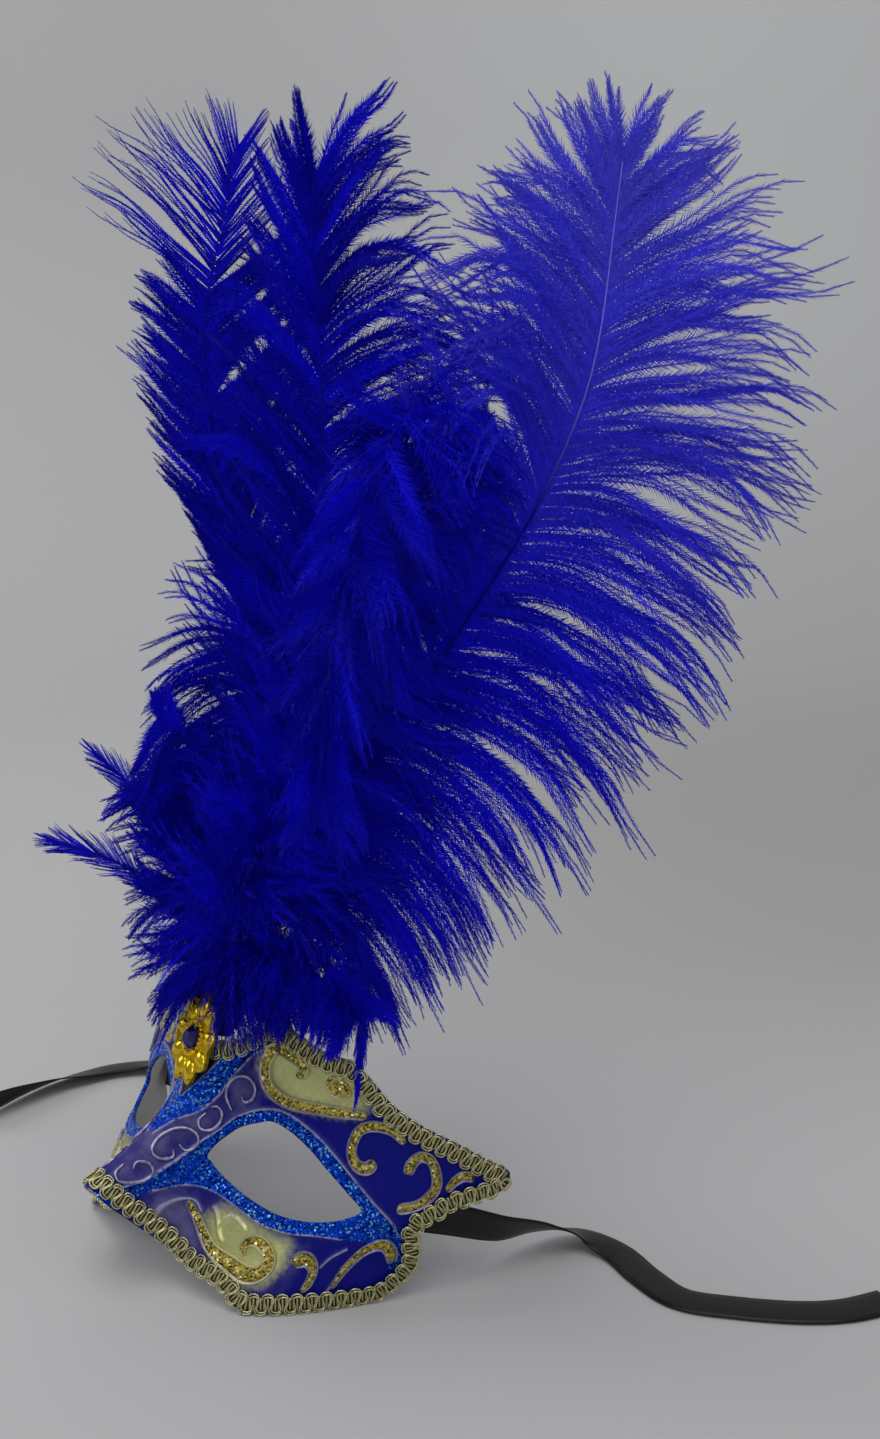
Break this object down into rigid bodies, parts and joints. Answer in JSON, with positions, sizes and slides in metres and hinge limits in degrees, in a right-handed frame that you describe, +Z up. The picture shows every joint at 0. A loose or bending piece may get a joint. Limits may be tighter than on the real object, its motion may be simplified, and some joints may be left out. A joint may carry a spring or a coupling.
{
  "type": "masquerade mask",
  "caption": "Moulded half mask with gold scrollwork and braid, a jewel on the brow, tall ostrich plumes and satin ties.",
  "frame": {"origin": "on the surface that the mask rests on, under the middle of the box round the mask and its plumes", "axes": "+Z up, -Y is the way the mask faces, +X is to the wearer's left"},
  "size_m": [0.324, 0.1877, 0.3774],
  "materials": {
    "shell": "hard moulded shell, violet-blue paint rubbed with gold",
    "braid": "woven metallic gimp braid, pale gold",
    "jewel": "bright gold plated filigree",
    "stone": "dark blue faceted glass",
    "pad": "dark blue bound cloth",
    "ribbon": "black satin",
    "glitter": "gold glitter in a raised gold rim",
    "silver_line": "silver-violet raised paint line",
    "plume": "dyed ultramarine ostrich feather"
  },
  "bodies": {
    "root": {"mask_shell": "shell", "edge_braid": "braid", "jewel_setting": "jewel", "jewel_stone": "stone", "feather_pad": "pad", "ribbon_left": "ribbon", "ribbon_right": "ribbon", "scroll_brow_left": "glitter", "scroll_brow_right": "glitter", "scroll_leaf_left": "glitter", "scroll_leaf_right": "glitter", "scroll_temple_left": "glitter", "scroll_temple_right": "glitter", "scroll_crook_left": "glitter", "scroll_crook_right": "glitter", "scroll_tip_left": "glitter", "scroll_tip_right": "glitter", "scroll_cheek_left": "glitter", "scroll_cheek_right": "glitter", "scroll_spiral_left": "glitter", "scroll_spiral_right": "glitter", "scroll_arch_left": "glitter", "scroll_arch_right": "glitter", "nose_curl_low_left": "silver_line", "nose_curl_low_right": "silver_line", "nose_curl_wide_left": "silver_line", "nose_curl_wide_right": "silver_line", "nose_curl_small_left": "silver_line", "nose_curl_small_right": "silver_line", "nose_curl_high_left": "silver_line", "nose_curl_high_right": "silver_line", "plume_large": "plume", "plume_tall": "plume", "plume_middle": "plume", "plume_curled": "plume", "plume_side": "plume", "tuft_left": "plume", "tuft_front": "plume", "tuft_right": "plume", "hackle_hanging": "plume", "wisp_low": "plume", "wisp_high": "plume"}
  },
  "joints": []
}
